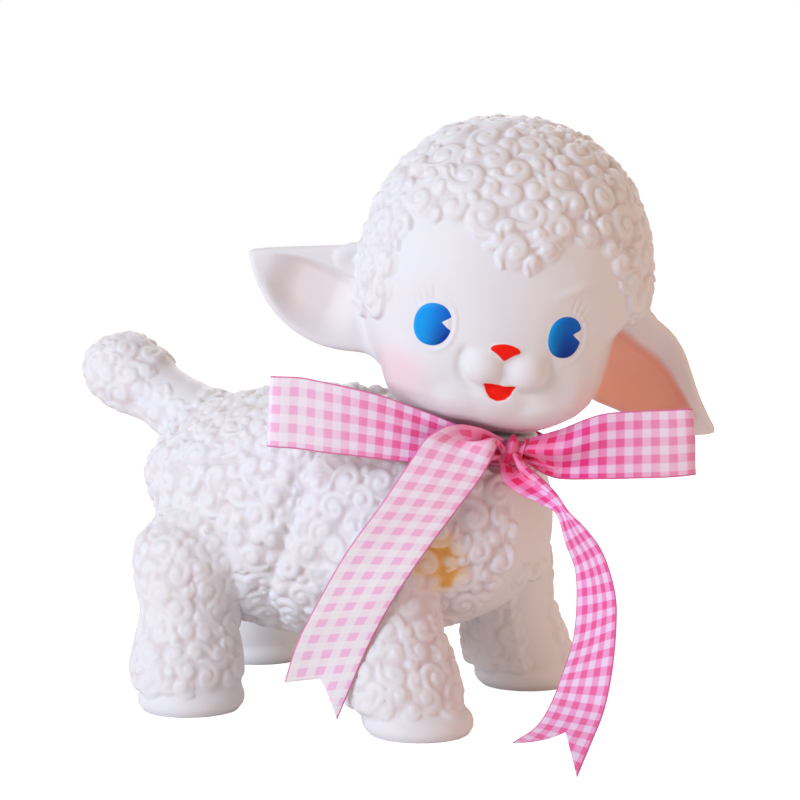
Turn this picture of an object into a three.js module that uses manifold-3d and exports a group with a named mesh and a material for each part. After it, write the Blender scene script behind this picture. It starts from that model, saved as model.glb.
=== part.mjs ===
// Soft rubber lamb, a squeezing toy: a hollow curly body on four feet, a hollow head that turns on
// a snap-in neck, a squeaker in the belly and a checked ribbon tied in a bow. Millimetres, Z up,
// X towards the chest, Y towards the left side of the lamb.
import * as THREE from 'three';
import { mergeVertices } from 'three/addons/utils/BufferGeometryUtils.js';
import Module from 'manifold-3d';

const wasm = await Module();
wasm.setup();

// Body
const TORSO_LENGTH = 125;
const TORSO_WIDTH = 71;
const TORSO_HEIGHT = 71;
const BELLY_CLEARANCE = 18.9;
const BODY_WALL = 2.3;
const CURL_HEIGHT = 1.5;
const RUMP_TUCK = 5;
const LEG_RADIUS = 16.2;
const HOOF_HEIGHT = 5;
const STANCE_WIDTH = 74;
const FRONT_FOOT_X = 24;
const HIND_FOOT_X = -46;
const HIND_STAGGER = 19;
const TAIL_RISE = 12;
const TAIL_REACH = 41;
const TAIL_PUFF_RADIUS = 12;

// Neck joint, in a frame whose Z is the turning axis
const NECK_SETBACK = 18.5;
const NECK_SINK = 8.5;
const NECK_TILT = 9;
const NECK_RADIUS = 16;
const NECK_HOLE_RADIUS = 11;
const NECK_PLATE = 2.6;
const PLUG_WALL = 2.3;
const PLUG_LIP = 2;
const FIT_GAP = 0.3;

// Head, in the neck frame with X towards the face
const HEAD_TURN = -62;
const HEAD_WIDTH = 78.5;
const HEAD_DEPTH = 80;
const HEAD_HEIGHT = 87;
const HEAD_SINK = 3;
const HEAD_WALL = 2.6;
const EAR_LENGTH = 37;
const EAR_WIDTH = 32;
const EAR_THICKNESS = 3.4;
const RIGHT_EAR_LIFT = 15;
const LEFT_EAR_LIFT = -33;

// Squeaker in the belly
const SQUEAKER_RADIUS = 9;
const SQUEAKER_LENGTH = 13;
const SQUEAKER_FLANGE = 2.2;
const REED_LENGTH = 7.5;
const REED_WIDTH = 2.2;

// Ribbon, with the bow in a frame of its own at the knot: U along the bow, V out from the neck
const RIBBON_WIDTH = 18.6;
const RIBBON_THICKNESS = 0.6;
const BOW_FACING = -64.5;
const KNOT_WIDTH = 6.4;
const KNOT_DEPTH = 8;
const KNOT_HEIGHT = 7.6;
const LOOP_REACH_RIGHT = 65;
const LOOP_REACH_LEFT = 49;
const LOOP_RISE_RIGHT = 10.6;
const LOOP_RISE_LEFT = 2.8;
const LOOP_DEPTH = 7.4;
const END_DROP_RIGHT = 62;
const END_DROP_LEFT = 71.2;
const BAND_WIDTH = 7.8;

const TORSO_X = -14.6;
const TORSO_Z = BELLY_CLEARANCE + TORSO_HEIGHT / 2;
const SQUEAKER_X = TORSO_X;
const HEAD_LIFT = HEAD_HEIGHT / 2 - HEAD_SINK;
const V3 = (x, y, z) => new THREE.Vector3(x, y, z);
const neckFrame = new THREE.Matrix4()
  .makeTranslation(TORSO_X + TORSO_LENGTH / 2 - NECK_SETBACK, 0, TORSO_Z + TORSO_HEIGHT / 2 - NECK_SINK)
  .multiply(new THREE.Matrix4().makeRotationY(THREE.MathUtils.degToRad(NECK_TILT)));
const headFrame = neckFrame.clone()
  .multiply(new THREE.Matrix4().makeRotationZ(THREE.MathUtils.degToRad(HEAD_TURN)));

const clamp = THREE.MathUtils.clamp;
const ramp = THREE.MathUtils.smoothstep;

// A closed solid from the faces of a geometry, with faces turned outward
function solid(geometry) {
  const bare = new THREE.BufferGeometry();
  bare.setAttribute('position', geometry.getAttribute('position').clone());
  if (geometry.index) bare.setIndex(geometry.index.clone());
  const welded = mergeVertices(bare, 1e-4);
  const at = welded.getAttribute('position').array;
  const faces = [];
  let volume = 0;
  for (let i = 0; i < welded.index.count; i += 3) {
    const [a, b, c] = [0, 1, 2].map((k) => welded.index.getX(i + k));
    if (a === b || b === c || c === a) continue;
    faces.push([a, b, c]);
    const [p, q, r] = [a, b, c].map((k) => V3(at[3 * k], at[3 * k + 1], at[3 * k + 2]));
    volume += p.dot(q.cross(r));
  }
  const turned = volume < 0 ? faces.map(([a, b, c]) => [a, c, b]) : faces;
  return new wasm.Manifold(new wasm.Mesh({
    numProp: 3,
    vertProperties: Float32Array.from(at),
    triVerts: Uint32Array.from(turned.flat()),
  }));
}

// A geometry whose rings of points are skinned in turn and closed at both ends
function skin(rings) {
  const n = rings[0].length;
  const points = rings.flat();
  const index = [];
  for (let i = 0; i + 1 < rings.length; i += 1) {
    for (let j = 0; j < n; j += 1) {
      const [a, b] = [i * n + j, i * n + (j + 1) % n];
      index.push(a, b, b + n, a, b + n, a + n);
    }
  }
  [rings[0], rings[rings.length - 1]].forEach((ring, end) => {
    const middle = ring.reduce((sum, p) => sum.add(p), V3(0, 0, 0)).divideScalar(n);
    points.push(middle);
    const start = end ? (rings.length - 1) * n : 0;
    for (let j = 0; j < n; j += 1) {
      const [a, b] = [start + j, start + (j + 1) % n];
      index.push(...(end ? [a, b, points.length - 1] : [b, a, points.length - 1]));
    }
  });
  const geometry = new THREE.BufferGeometry().setFromPoints(points);
  geometry.setIndex(index);
  return geometry;
}

// A turned solid about Z from rows of radius and height
function turned(rows, segments = 40) {
  const profile = rows.map(([r, z]) => new THREE.Vector2(Math.max(r, 0), z));
  const geometry = new THREE.LatheGeometry(profile, segments);
  geometry.rotateX(Math.PI / 2);
  return geometry;
}

// Directions spread over a ball, with rules for how high the curls stand and how far they stray
function ballOfCurls(steps, curls, stretch, pace) {
  const middles = mergeVertices(new THREE.IcosahedronGeometry(1, curls - 1).deleteAttribute('uv'), 1e-4);
  const at = middles.getAttribute('position');
  const apart = 1.107 / curls;
  const curl = (d) => {
    let near = 4;
    let tall = 1;
    for (let i = 0; i < at.count; i += 1) {
      const far = V3(at.getX(i), at.getY(i), at.getZ(i)).distanceTo(d);
      if (far < near) {
        near = far;
        tall = 1 + 0.3 * Math.sin(i * 2.4);
      }
    }
    const share = near / apart;
    return tall * (share < 0.45 ? 1 - 1.7 * share : -0.5);
  };
  const stray = (d) => {
    const e = V3(d.x, d.y * stretch, d.z * stretch).normalize();
    const sway = V3(Math.sin(pace * e.y + 1), Math.sin(pace * e.z + 2), Math.sin(pace * e.x + 3));
    return e.addScaledVector(sway, 0.05).normalize();
  };
  return { geometry: new THREE.IcosahedronGeometry(1, steps - 1), curl, stray };
}

// Moves every point of a geometry by a rule
function reshape(geometry, rule) {
  const at = geometry.getAttribute('position');
  for (let i = 0; i < at.count; i += 1) {
    const p = rule(V3(at.getX(i), at.getY(i), at.getZ(i)));
    at.setXYZ(i, p.x, p.y, p.z);
  }
  return geometry;
}

// A ball drawn out to three half sizes, a little squarer than an ellipsoid
function plump(d, a, b, c, power) {
  const sum = Math.abs(d.x) ** power + Math.abs(d.y) ** power + Math.abs(d.z) ** power;
  return V3(d.x * a, d.y * b, d.z * c).multiplyScalar(sum ** (-1 / power));
}

// Torso: the smooth strip down the front of the chest carries no curls, and the rump is tucked in below
function torso(inset) {
  const { geometry, curl, stray } = ballOfCurls(inset ? 6 : 12, 6, 1.3, 11);
  return solid(reshape(geometry, (start) => {
    const d = stray(start);
    const p = plump(d, TORSO_LENGTH / 2 - inset, TORSO_WIDTH / 2 - inset, TORSO_HEIGHT / 2 - inset, 2.4);
    const strip = ramp(d.x, 0.8, 0.93) * (1 - ramp(Math.abs(d.y), 0.12, 0.3));
    const lift = inset ? 0 : CURL_HEIGHT * (1 - strip) * curl(start);
    const below = ramp(-p.z / TORSO_HEIGHT, -0.163, 0.034);
    p.x += RUMP_TUCK * below * ramp(-p.x / TORSO_LENGTH, 0.17, 0.44);
    return p.addScaledVector(d, lift).add(V3(TORSO_X, 0, TORSO_Z));
  }));
}

// Leg: a smooth hoof rim on the ground, a curly cuff above it, a waist and a round top in the torso
function leg(foot, top, thigh, toe, inset) {
  const r = LEG_RADIUS;
  const rim = HOOF_HEIGHT;
  const height = top.z + 14;
  const rows = [[0, 0], [r * 0.8, 0], [r * 0.9, rim * 0.2], [r * 0.94, rim * 0.55], [r * 0.93, rim * 0.9]];
  rows.push([r * 0.9, rim * 1.12], [r * 0.97, rim * 1.6], [r, rim * 2.4], [r * 0.96, rim * 3.4]);
  rows.push([r * 0.87, rim * 4.5], [r * (0.82 + thigh * 0.02), rim * 5.6]);
  rows.push([r * (0.83 + thigh * 0.11), rim * 6.8], [r * (0.86 + thigh * 0.16), rim * 8]);
  rows.push([r * (0.84 + thigh * 0.12), height * 0.812], [r * 0.55, height * 0.933], [0, height]);
  const segments = inset ? 12 : 16;
  const plain = rows.filter((_, i) => !inset || [0, 1, 3, 7, 10, 12, 14, 15].includes(i));
  const shape = turned(plain.map(([q, z]) => [q ? q - inset : 0, z]), segments);
  return solid(reshape(shape, (p) => {
    const out = Math.hypot(p.x, p.y);
    const turn = (Math.round(Math.atan2(p.y, p.x) / (2 * Math.PI) * segments) + segments) % segments;
    const row = rows.findIndex(([, z]) => Math.abs(z - p.z) < 1e-3);
    const curly = !inset && row > 5 && row < 14 && out > 1;
    const lift = curly ? CURL_HEIGHT * ((turn + row) % 2 ? 0.6 : -0.3) : 0;
    const scale = out > 1e-6 ? (out + lift) / out : 1;
    if (curly) {
      p.applyAxisAngle(V3(0, 0, 1), 0.12 * Math.sin(3.1 * row + 5.3 * turn));
      p.z += Math.sin(2.3 * row + 4.1 * turn);
    }
    const z = inset ? Math.max(p.z, 0) * ((height - 2 * inset) / height) + inset : p.z;
    const share = clamp(z / top.z, 0, 1.3);
    const step = toe * (1 - ramp(z, rim * 0.9, rim * 1.6));
    const lean = V3(foot.x + (top.x - foot.x) * share + step, foot.y + (top.y - foot.y) * share, z);
    return V3(p.x * scale, p.y * scale, 0).add(lean);
  }));
}

const half = STANCE_WIDTH / 2;
const hip = TORSO_WIDTH * 0.36;
const topZ = BELLY_CLEARANCE + 25;
const LEGS = [
  [V3(FRONT_FOOT_X, -half, 0), V3(FRONT_FOOT_X - 13, -hip, topZ), 0, 3],
  [V3(FRONT_FOOT_X + 2.5, half, 0), V3(FRONT_FOOT_X - 0.5, hip, topZ), 0.35, 1.5],
  [V3(HIND_FOOT_X, -half, 0), V3(HIND_FOOT_X - 4, -hip - 1.5, topZ), 1, 1.5],
  [V3(HIND_FOOT_X - HIND_STAGGER, half, 0), V3(HIND_FOOT_X - 8, hip, topZ), 0.8, 1.5],
];

// Tail: a smooth root, a narrow stem and a curly puff that stands up and back
function tail(inset) {
  const root = V3(TORSO_X - TORSO_LENGTH / 2 + 17, 0, TORSO_Z + TORSO_HEIGHT * 0.34);
  const puff = V3(root.x - TAIL_REACH + TAIL_PUFF_RADIUS, 0, root.z + TAIL_RISE + 2);
  const path = new THREE.CatmullRomCurve3([
    root.clone().add(V3(9, 0, -8)), root.clone().lerp(puff, 0.45).add(V3(0, 0, -1)), puff,
    V3(root.x - TAIL_REACH, 0, puff.z + 0.5),
  ]);
  const R = TAIL_PUFF_RADIUS;
  const sizes = [11.5, 11.5, 10.6, 9.4, 9.2, R * 0.93, R * 1.02, R * 0.98, R * 0.8, R * 0.45];
  const segments = inset ? 12 : 16;
  const rings = sizes.map((size, i) => {
    const t = 0.985 * i / (sizes.length - 1);
    const middle = path.getPointAt(t);
    const along = path.getTangentAt(t);
    const side = V3(-along.z, 0, along.x);
    return Array.from({ length: segments }, (_, j) => {
      const curly = !inset && i > 3 && i < 9;
      const stray = curly ? 0.3 * Math.sin(3.1 * (i - 4) + 5.3 * j) : 0;
      const turn = 2 * Math.PI * (j + stray) / segments;
      const lift = curly ? CURL_HEIGHT * ((i + j) % 2 ? 0.7 : -0.4) : 0;
      const out = Math.max(size - inset + lift, 0.6);
      return middle.clone().addScaledVector(side, out * Math.cos(turn))
        .add(V3(0, out * Math.sin(turn), 0));
    });
  });
  return solid(skin(inset ? rings.slice(0, 8) : rings));
}

// A turned solid set on the neck axis
function onNeck(rows, segments) {
  return solid(turned(rows, segments).applyMatrix4(neckFrame));
}

const NECK_TOP = -1.2;
const bore = NECK_RADIUS - 2.4;
const plateFoot = NECK_TOP - NECK_PLATE;

// Body: the skin, the groove round the neck and the neck stub, less the hollow behind the wall
function bodyShell() {
  let outer = torso(0);
  LEGS.forEach((shape) => { outer = outer.add(leg(...shape, 0)); });
  outer = outer.add(tail(0));
  let hollow = torso(BODY_WALL);
  LEGS.forEach((shape) => { hollow = hollow.add(leg(...shape, BODY_WALL)); });
  hollow = hollow.add(tail(BODY_WALL));
  const groove = (deep) => onNeck([
    [0, -11 - deep], [NECK_RADIUS + 3, -11 - deep], [NECK_RADIUS + 9, -8 - deep],
    [NECK_RADIUS + 16, -3 - deep], [NECK_RADIUS + 23, -deep], [NECK_RADIUS + 23, 30], [0, 30],
  ], 36);
  outer = outer.subtract(groove(0)).add(onNeck([
    [0, -40], [NECK_RADIUS + 6, -40], [NECK_RADIUS + 4, -16], [NECK_RADIUS + 1, -11.5],
    [NECK_RADIUS, -10], [NECK_RADIUS, NECK_TOP - 0.6], [NECK_RADIUS - 0.6, NECK_TOP], [0, NECK_TOP],
  ], 36));
  hollow = hollow.subtract(groove(BODY_WALL)).add(onNeck([
    [0, -40], [bore, -40], [bore, plateFoot], [0, plateFoot],
  ], 36));
  const z = BELLY_CLEARANCE;
  const place = V3(SQUEAKER_X, 0, 0);
  const collar = solid(turned([
    [0, z - 1], [SQUEAKER_RADIUS + 3.6, z - 1], [SQUEAKER_RADIUS + 4.6, z], [SQUEAKER_RADIUS + 4.6, z + 5],
    [0, z + 5],
  ], 28)).translate([place.x, 0, 0]);
  const seat = solid(turned([
    [0, z - 8], [SQUEAKER_RADIUS + FIT_GAP, z - 8], [SQUEAKER_RADIUS + FIT_GAP, z + 12], [0, z + 12],
  ], 28)).translate([place.x, 0, 0]);
  const neckHole = onNeck([
    [0, -20], [NECK_HOLE_RADIUS, -20], [NECK_HOLE_RADIUS, 6], [0, 6],
  ], 36);
  return outer.subtract(hollow).add(collar).subtract(seat).subtract(neckHole);
}

// Points of the face: place in the head frame, reach and height of each swelling or hollow
const k = { x: HEAD_DEPTH / 82, y: HEAD_WIDTH / 81, z: HEAD_HEIGHT / 87 };
const FACE = [
  [36, 7, 18.5, 7, 2.8], [36, -7, 18.5, 7, 2.8], [36, 0, 18.5, 14.5, 2.8], [39, 0, 25.5, 4.6, 1.9],
  [28, 20, 14, 10, 0.9], [28, -20, 14, 10, 0.9], [30, 0, 7, 8, 2], [35, 0, 12.5, 3.6, -1.6],
  [36, 18, 30, 8, -1.5], [36, -18, 30, 8, -1.5], [37, 17.5, 29.5, 5, 1], [37, -17.5, 29.5, 5, 1],
  [38, 16, 43, 7, 0.9], [38, -16, 43, 7, 0.9],
];

// How far a place on the head is inside the curly cap: over a fringe in front, down to the nape behind
function cap(p) {
  const [y, z] = [Math.abs(p.y / k.y), (p.z - HEAD_LIFT) / k.z + 40.5];
  const line = 57 - 10.5 * Math.exp(-((y / 9) ** 2)) - 0.087 * Math.max(0, y - 20) ** 2;
  const front = ramp(z, line - 1.5, line + 1.5);
  const behind = ramp(-p.x / k.x, 6, 10) * ramp(z, 6, 10);
  return Math.max(front, behind);
}

// Ear: a cupped leaf with a rounded rim, from inside the side of the head to its tip
function ear(side, lift) {
  const turn = THREE.MathUtils.degToRad(lift);
  const along = V3(-0.06, side * Math.cos(turn), Math.sin(turn)).normalize();
  const across = V3(0, -side * Math.sin(turn), Math.cos(turn));
  const back = V3(-1, 0, 0);
  const root = V3(-1, side * HEAD_WIDTH * 0.435, HEAD_LIFT - 14.5);
  const widths = [0.86, 0.97, 1, 0.97, 0.88, 0.74, 0.55, 0.33, 0.12];
  const steps = 8;
  const rings = widths.map((share, i) => {
    const s = i / (widths.length - 1);
    const w = share * EAR_WIDTH / 2;
    const bend = side * Math.sin(turn) * 6 * s * s * (side > 0 ? 1 : -1);
    const middle = root.clone().addScaledVector(along, -7 + (EAR_LENGTH + 7) * s)
      .addScaledVector(across, bend).addScaledVector(back, 2.5 * s * s);
    const thick = EAR_THICKNESS * (1 - 0.35 * s);
    const place = (t, face) => {
      const cup = 5 * share * (1 - t * t) + face * thick * Math.sqrt(Math.max(1 - t * t, 0));
      return middle.clone().addScaledVector(across, t * w).addScaledVector(back, cup);
    };
    const front = Array.from({ length: steps + 1 }, (_, j) => place(-Math.cos(Math.PI * j / steps), 0));
    const rear = Array.from({ length: steps - 1 }, (_, j) => place(Math.cos(Math.PI * (j + 1) / steps), 1));
    return [...front, ...rear];
  });
  return solid(skin(rings));
}

// Head: face swellings, curly cap and ears over a snap-in plug, all hollow and open at the neck
function headShell() {
  const floor = NECK_TOP + FIT_GAP;
  const ball = (steps, inset) => {
    const { geometry, curl, stray } = ballOfCurls(steps, 4, 1, 9);
    return solid(reshape(geometry, (start) => {
      const d = stray(start);
      const size = [HEAD_DEPTH / 2 - inset, HEAD_WIDTH / 2 - inset, HEAD_HEIGHT / 2 - inset];
      const p = plump(d, ...size, 2.15).add(V3(0, 0, HEAD_LIFT));
      if (!inset) {
        const hair = cap(p);
        let lift = hair * (1.3 + CURL_HEIGHT * curl(start));
        FACE.forEach(([x, y, z, reach, height]) => {
          const far = p.distanceToSquared(V3(x * k.x, y * k.y, (z - 40.5) * k.z + HEAD_LIFT));
          lift += height * Math.exp(-far / (reach * reach)) * (1 - hair);
        });
        p.addScaledVector(d, lift);
      }
      p.z = Math.max(p.z, floor + inset);
      return p;
    }));
  };
  const lip = plateFoot - 0.4;
  const plug = NECK_HOLE_RADIUS - FIT_GAP;
  const stem = solid(turned([
    [0, floor + 3], [plug, floor + 3], [plug, lip], [plug + PLUG_LIP, lip], [plug + PLUG_LIP, lip - 1.6],
    [plug - 0.6, lip - 5.4], [0, lip - 5.4],
  ], 36));
  const way = solid(turned([
    [0, floor + 8], [plug - PLUG_WALL, floor + 8], [plug - PLUG_WALL, lip - 9], [0, lip - 9],
  ], 32));
  return ball(12, 0).add(ear(-1, RIGHT_EAR_LIFT)).add(ear(1, LEFT_EAR_LIFT))
    .subtract(ball(6, HEAD_WALL)).add(stem).subtract(way).transform(headFrame.elements);
}

// Squeaker: a cup snapped into the belly, a plate with a slot, a reed over it and a pierced cap
const S = SQUEAKER_RADIUS;
const squeakFoot = BELLY_CLEARANCE - 1 - FIT_GAP - 1.5;
function inBelly(rows, segments = 28) {
  return solid(turned(rows, segments)).translate([SQUEAKER_X, 0, 0]);
}
function box(width, depth, height, x, y, z) {
  const geometry = new THREE.BoxGeometry(width, depth, height);
  geometry.translate(x, y, z);
  return solid(geometry);
}
const ledge = squeakFoot + 6;
function squeakerCup() {
  const z = squeakFoot;
  const bead = BELLY_CLEARANCE + 5 + FIT_GAP;
  const rows = [
    [S - 1.6, z], [S + SQUEAKER_FLANGE - 0.5, z], [S + SQUEAKER_FLANGE, z + 0.5],
    [S + SQUEAKER_FLANGE, z + 1.5], [S, z + 1.5], [S, bead], [S + 0.9, bead + 0.3], [S + 0.9, bead + 1.1],
    [S, bead + 2], [S, z + SQUEAKER_LENGTH],
    [S - 1.6, z + SQUEAKER_LENGTH], [S - 1.6, ledge], [S - 2.8, ledge], [S - 2.8, ledge - 1.2],
    [S - 1.6, ledge - 1.2], [S - 1.6, z],
  ];
  return inBelly(rows);
}
function squeakerPlate() {
  const z = ledge + FIT_GAP;
  return inBelly([[0, z], [S - 1.9, z], [S - 1.9, z + 1.2], [0, z + 1.2]])
    .subtract(box(REED_LENGTH - 2, REED_WIDTH - 0.6, 6, SQUEAKER_X + 0.6, 0, z));
}
function squeakerReed() {
  const z = ledge + FIT_GAP * 2 + 1.2 + 0.15;
  return box(REED_LENGTH, REED_WIDTH, 0.3, SQUEAKER_X, 0, z);
}
function squeakerCap() {
  const z = squeakFoot + 0.9;
  const hole = inBelly([[0, z - 3], [1.5, z - 3], [1.5, z + 5], [0, z + 5]], 20);
  return inBelly([
    [0, z], [S - 1.9, z], [S - 1.9, z + 2.4], [S - 3.2, z + 2.4], [S - 3.2, z + 1.3], [0, z + 1.3],
  ]).subtract(hole);
}

// Bow frame: knot, loops and ends are placed by U along the bow, V out from the neck and height
const facing = THREE.MathUtils.degToRad(BOW_FACING);
const bowOut = V3(Math.cos(facing), Math.sin(facing), 0);
const bowAlong = V3(-Math.sin(facing), Math.cos(facing), 0);
const knot = V3(3.9, -17.2, -5.2).applyMatrix4(neckFrame)
  .addScaledVector(bowOut, NECK_RADIUS - 16 + KNOT_DEPTH / 2 - 0.7)
  .addScaledVector(bowAlong, 11.4);
const inBow = (u, v, z) => knot.clone().addScaledVector(bowAlong, u).addScaledVector(bowOut, v)
  .add(V3(0, 0, z));

// A strip of ribbon along a path: its width, the way it lies and its pleats vary along it
function strip(path, stations, lay, width, pleat, endCut = 0) {
  const across = 4;
  const rings = [];
  for (let i = 0; i < stations; i += 1) {
    const t = i / (stations - 1);
    const middle = path.getPointAt(t);
    const along = path.getTangentAt(t);
    const side = lay(t, along);
    const wide = side.addScaledVector(along, -side.dot(along)).normalize();
    const normal = along.clone().cross(wide).normalize();
    const row = (face) => Array.from({ length: across + 1 }, (_, j) => {
      const s = j / across - 0.5;
      const fold = pleat(t) * Math.cos(2 * Math.PI * 2 * s);
      const cut = endCut * ramp(t, 1 - 1.6 / stations, 1) * (Math.abs(s) * 4 - 1);
      return middle.clone().addScaledVector(wide, s * width(t)).addScaledVector(along, cut)
        .addScaledVector(normal, fold + face * RIBBON_THICKNESS / 2);
    });
    rings.push([...row(1), ...row(-1).reverse()]);
  }
  return solid(skin(rings));
}

// Neck band: the ribbon drawn round the neck stub in soft pleats
function neckBand() {
  const r = NECK_RADIUS + 0.4;
  const wave = (z) => 0.35 + 0.35 * Math.cos((z + 5.7) * Math.PI / 1.95);
  const heights = [-9.6, -8.6, -7.65, -6.7, -5.7, -4.7, -3.75, -2.8, -1.8];
  const wide = BAND_WIDTH / 7.8;
  const outer = heights.map((z) => [r + 0.7 + wave(z), z * wide]);
  return onNeck([...outer, [r, -1.8 * wide], [r, -9.6 * wide], outer[0]], 36);
}

// Knot: a small tight wrap with two pleats
function bowKnot() {
  const geometry = new THREE.SphereGeometry(1, 20, 12);
  geometry.rotateX(Math.PI / 2);
  return solid(reshape(geometry, (d) => {
    const p = plump(d, KNOT_WIDTH / 2, KNOT_DEPTH / 2, KNOT_HEIGHT / 2, 2.8);
    const pleat = 1 - 0.09 * Math.cos(d.x * 7) * Math.max(0, 1 - Math.abs(d.z));
    return inBow(p.x, p.y * pleat, p.z);
  }));
}

// Loop: out from the knot, round a flat fold and back behind itself
function bowLoop(side, reach, rise) {
  const start = KNOT_WIDTH / 2 + 0.5;
  const path = new THREE.CatmullRomCurve3([
    inBow(side * start, 1.1, 0), inBow(side * (start + reach * 0.24), LOOP_DEPTH - 1.8, rise * 0.2),
    inBow(side * reach * 0.62, LOOP_DEPTH, rise * 0.66), inBow(side * (reach - 1.3), LOOP_DEPTH - 0.4, rise),
    inBow(side * reach, 5.7, rise), inBow(side * (reach - 1.3), 4.4, rise),
    inBow(side * reach * 0.62, 3.7, rise * 0.66), inBow(side * (start + reach * 0.24), 2.8, rise * 0.2),
    inBow(side * start, -0.9, 0),
  ], false, 'centripetal');
  const open = (t) => ramp(Math.min(t, 1 - t), 0, 0.28);
  const width = (t) => KNOT_HEIGHT * 0.86 + (RIBBON_WIDTH - KNOT_HEIGHT * 0.86) * open(t);
  return strip(path, 36, () => V3(0, 0, 1), width, (t) => 0.45 * (1 - open(t)) * ramp(t * (1 - t), 0, 0.03));
}

// Right-hand end of the lamb's bow: over the loop, facing out, and down beside the shoulder
const shoulder = TORSO_WIDTH / 2 - NECK_RADIUS - 18.8;
function tailRight() {
  const start = KNOT_WIDTH / 2 + 0.5;
  const out = LOOP_DEPTH + 2.2;
  const down = END_DROP_RIGHT / 62;
  const at = (u, v, z) => inBow(u * down, out + shoulder * ramp(-z, 3, 15) + v * down, z * down);
  const path = new THREE.CatmullRomCurve3([
    inBow(-start, 3.2, 0.4), at(-9.4, -3, 0.4), at(-15.4, -0.6, -3.2),
    at(-20.4, 0.4, -9), at(-27, 1.8, -18), at(-34.5, 4.2, -29),
    at(-42, 6, -40.5), at(-47.5, 7.2, -50.8), at(-51.8, 8, -62),
  ], false, 'centripetal');
  const width = (t) => KNOT_HEIGHT * 0.9 + (RIBBON_WIDTH - KNOT_HEIGHT * 0.9) * ramp(t, 0, 0.22);
  const pleat = (t) => 0.35 * (1 - ramp(t, 0.02, 0.3)) * ramp(t, 0, 0.04);
  return strip(path, 30, (_, along) => along.clone().cross(bowOut), width, pleat, 4.5);
}

// Left-hand end: out under the knot, a tight twist, then down in front with its foot curled forward
function tailLeft() {
  const down = END_DROP_LEFT / 71.2;
  const at = (u, v, z) => inBow(u * down, v * down, z * down);
  const path = new THREE.CatmullRomCurve3([
    inBow(0.4, 2.6, -KNOT_HEIGHT / 2 - 1), at(5, 7.5, -8.6), at(9.8, 12.5, -13.2), at(15.6, 18, -22.6),
    at(20.2, 22.5, -31.6), at(20.6, 27.5, -40.6), at(18.6, 33, -50), at(14.6, 40, -59),
    at(10.6, 47, -66.8), at(7.4, 51.5, -71.2),
  ], false, 'centripetal');
  const width = (t) => 6.2 + (RIBBON_WIDTH - 6.2) * ramp(t, 0.2, 0.5);
  const lay = (t) => bowAlong.clone().multiplyScalar(0.4 + 0.5 * ramp(t, 0.2, 0.6))
    .addScaledVector(bowOut, 0.9 * ramp(t, 0.15, 0.4) - 0.15 * ramp(t, 0.6, 1))
    .add(V3(0, 0, 0.8 * (1 - ramp(t, 0.05, 0.3)) - 0.2 * ramp(t, 0.7, 1)));
  return strip(path, 32, lay, width, (t) => 0.4 * (1 - ramp(t, 0.1, 0.4)) * ramp(t, 0, 0.05), 3.2);
}

const vinyl = new THREE.MeshStandardMaterial({ name: 'soft_rubber', color: 0xf3eeee, roughness: 0.55 });
const cloth = new THREE.MeshStandardMaterial({ name: 'gingham', color: 0xf2a5cb, roughness: 0.85 });
const brass = new THREE.MeshStandardMaterial({
  name: 'reed_brass', color: 0xc9a552, metalness: 1, roughness: 0.35,
});
const resin = new THREE.MeshStandardMaterial({ name: 'squeaker_plastic', color: 0xe9e4da, roughness: 0.5 });

const PIECES = [
  ['body_shell', bodyShell, vinyl], ['head_shell', headShell, vinyl],
  ['squeaker_cup', squeakerCup, resin], ['squeaker_reed_plate', squeakerPlate, resin],
  ['squeaker_reed', squeakerReed, brass], ['squeaker_cap', squeakerCap, resin],
  ['ribbon_neckband', neckBand, cloth], ['ribbon_knot', bowKnot, cloth],
  ['ribbon_loop_right', () => bowLoop(-1, LOOP_REACH_RIGHT, LOOP_RISE_RIGHT), cloth],
  ['ribbon_loop_left', () => bowLoop(1, LOOP_REACH_LEFT, LOOP_RISE_LEFT), cloth],
  ['ribbon_tail_right', tailRight, cloth], ['ribbon_tail_left', tailLeft, cloth],
];

const group = new THREE.Group();
group.name = 'rubber_lamb';
PIECES.forEach(([name, make, material]) => {
  const mesh = make().getMesh();
  const geometry = new THREE.BufferGeometry();
  geometry.setAttribute('position', new THREE.BufferAttribute(Float32Array.from(mesh.vertProperties), 3));
  geometry.setIndex(Array.from(mesh.triVerts));
  geometry.computeVertexNormals();
  const piece = new THREE.Mesh(geometry, material);
  piece.name = name;
  group.add(piece);
});

// The part stands on its feet, over the middle of its outline
const bounds = new THREE.Box3().setFromObject(group);
const middle = bounds.getCenter(V3(0, 0, 0));
group.children.forEach((piece) => piece.geometry.translate(-middle.x, -middle.y, -bounds.min.z));

export default group;
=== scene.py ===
import math

import bpy
import numpy as np
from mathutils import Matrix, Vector


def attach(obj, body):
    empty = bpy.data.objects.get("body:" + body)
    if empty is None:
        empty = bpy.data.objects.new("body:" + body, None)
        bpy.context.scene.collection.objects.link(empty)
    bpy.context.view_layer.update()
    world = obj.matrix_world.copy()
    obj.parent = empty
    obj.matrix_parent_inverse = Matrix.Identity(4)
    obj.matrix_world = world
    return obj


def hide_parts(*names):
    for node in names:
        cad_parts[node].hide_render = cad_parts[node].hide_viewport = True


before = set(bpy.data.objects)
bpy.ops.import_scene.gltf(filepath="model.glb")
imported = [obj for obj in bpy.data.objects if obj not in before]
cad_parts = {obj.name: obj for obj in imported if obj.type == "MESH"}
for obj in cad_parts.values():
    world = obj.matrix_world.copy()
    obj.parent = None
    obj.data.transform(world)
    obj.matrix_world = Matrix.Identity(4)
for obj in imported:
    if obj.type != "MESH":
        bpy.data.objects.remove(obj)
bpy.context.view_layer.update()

# Body: torso, four legs and tail, one hollow moulding of soft white rubber with curly fleece moulded in.
# The hooves, the inner legs, the front of the chest and the top of the tail root are smooth.
# The neck stub on top takes the head's plug, and a collar in the belly holds the squeaker.
body_place = np.array([4.767, 5.408, 0.0])
neck_place = np.array([29.4, 0.0, 81.4])
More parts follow.
